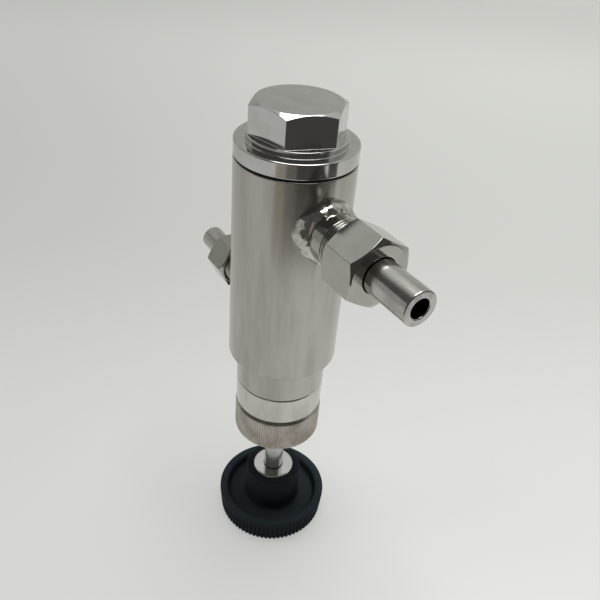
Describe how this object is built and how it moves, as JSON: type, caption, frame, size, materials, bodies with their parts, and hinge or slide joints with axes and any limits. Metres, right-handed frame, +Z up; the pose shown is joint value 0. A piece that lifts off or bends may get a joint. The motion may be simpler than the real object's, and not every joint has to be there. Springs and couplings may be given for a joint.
{
  "type": "pressure reducing valve",
  "caption": "Inline stainless pressure reducing valve: round barrel, hexagon cap, two offset side unions with tube ends, knurled lock ring and black hand knob.",
  "frame": {"origin": "on the floor at the centre of the knob's face, on the valve's axis", "axes": "+Z up the valve's axis towards the hexagon cap, +X out along the upper port, -X out along the lower port"},
  "size_m": [0.1622, 0.0592, 0.2398],
  "materials": {
    "body_steel": "machine-polished stainless steel with faint smears",
    "cap_steel": "bright turned stainless steel",
    "ring_steel": "bright turned stainless steel",
    "knurled_steel": "straight-knurled stainless steel",
    "union_steel": "bright machined stainless steel",
    "tube_steel": "turned stainless steel",
    "weld_steel": "shiny rippled weld metal",
    "stem_steel": "polished stainless steel",
    "insert_steel": "face-turned plated steel",
    "inner_steel": "machined stainless steel",
    "spring_steel": "spring wire",
    "bronze": "machined bronze",
    "gasket": "black flat gasket",
    "seal_rubber": "black O-ring rubber",
    "white_plastic": "white PTFE",
    "black_plastic": "black moulded plastic, satin"
  },
  "bodies": {
    "housing": {"valve_body": "body_steel", "top_cap": "cap_steel", "cap_gasket": "gasket", "seat_ring": "inner_steel", "strainer": "inner_steel", "bonnet": "ring_steel", "adjusting_bush": "bronze", "lock_collet": "white_plastic", "front_connector": "union_steel", "front_weld": "weld_steel", "rear_connector": "union_steel", "rear_weld": "weld_steel"},
    "lock_ring": {"lock_ring": "knurled_steel"},
    "spring_button": {"lower_spring_button": "inner_steel", "thrust_ball": "inner_steel", "range_spring": "spring_steel"},
    "adjuster": {"adjusting_screw": "stem_steel", "stop_ring": "inner_steel", "knob": "black_plastic", "knob_insert": "insert_steel", "knob_set_screw": "inner_steel"},
    "piston": {"piston": "bronze", "piston_oring": "seal_rubber", "guide_ring": "white_plastic", "push_rod": "inner_steel", "upper_spring_button": "inner_steel"},
    "poppet": {"poppet": "inner_steel", "poppet_disc": "white_plastic", "poppet_spring": "spring_steel"},
    "front_stub": {"front_tube_stub": "tube_steel", "front_cone_oring": "seal_rubber"},
    "front_nut": {"front_union_nut": "union_steel"},
    "rear_stub": {"rear_tube_stub": "tube_steel", "rear_cone_oring": "seal_rubber"},
    "rear_nut": {"rear_union_nut": "union_steel"}
  },
  "joints": [
    {"name": "screw_travel", "type": "slide", "parent": "housing", "child": "spring_button", "axis": [0, 0, 1], "range_m": [0, 0.008], "deforming": ["range_spring"]},
    {"name": "knob_turn", "type": "hinge", "parent": "spring_button", "child": "adjuster", "pos_m": [0, 0, 0], "axis": [0, 0, 1], "range_deg": [0, 1944]},
    {"name": "lock_ring_turn", "type": "hinge", "parent": "housing", "child": "lock_ring", "pos_m": [0, 0, 0.0643], "axis": [0, 0, -1], "range_deg": [0, 90]},
    {"name": "piston_lift", "type": "slide", "parent": "housing", "child": "piston", "axis": [0, 0, 1], "range_m": [0, 0.002]},
    {"name": "poppet_lift", "type": "slide", "parent": "housing", "child": "poppet", "axis": [0, 0, 1], "range_m": [0, 0.0021], "stiffness_N_per_m": 1500, "deforming": ["poppet_spring"]},
    {"name": "front_stub_slide", "type": "slide", "parent": "housing", "child": "front_stub", "axis": [1, 0, 0], "range_m": [0, 0.0105]},
    {"name": "front_nut_turn", "type": "hinge", "parent": "front_stub", "child": "front_nut", "pos_m": [0.05, 0, 0.1939], "axis": [1, 0, 0], "range_deg": [0, 2544]},
    {"name": "rear_stub_slide", "type": "slide", "parent": "housing", "child": "rear_stub", "axis": [-1, 0, 0], "range_m": [0, 0.0105]},
    {"name": "rear_nut_turn", "type": "hinge", "parent": "rear_stub", "child": "rear_nut", "pos_m": [-0.05, 0, 0.1372], "axis": [-1, 0, 0], "range_deg": [0, 2544]}
  ],
  "couplings": [
    {"joint": "knob_turn", "follows": "screw_travel", "rad_per_m": 4188.8},
    {"joint": "poppet_lift", "follows": "piston_lift", "ratio": 1},
    {"joint": "front_nut_turn", "follows": "front_stub_slide", "rad_per_m": 4188.8},
    {"joint": "rear_nut_turn", "follows": "rear_stub_slide", "rad_per_m": 4188.8}
  ]
}
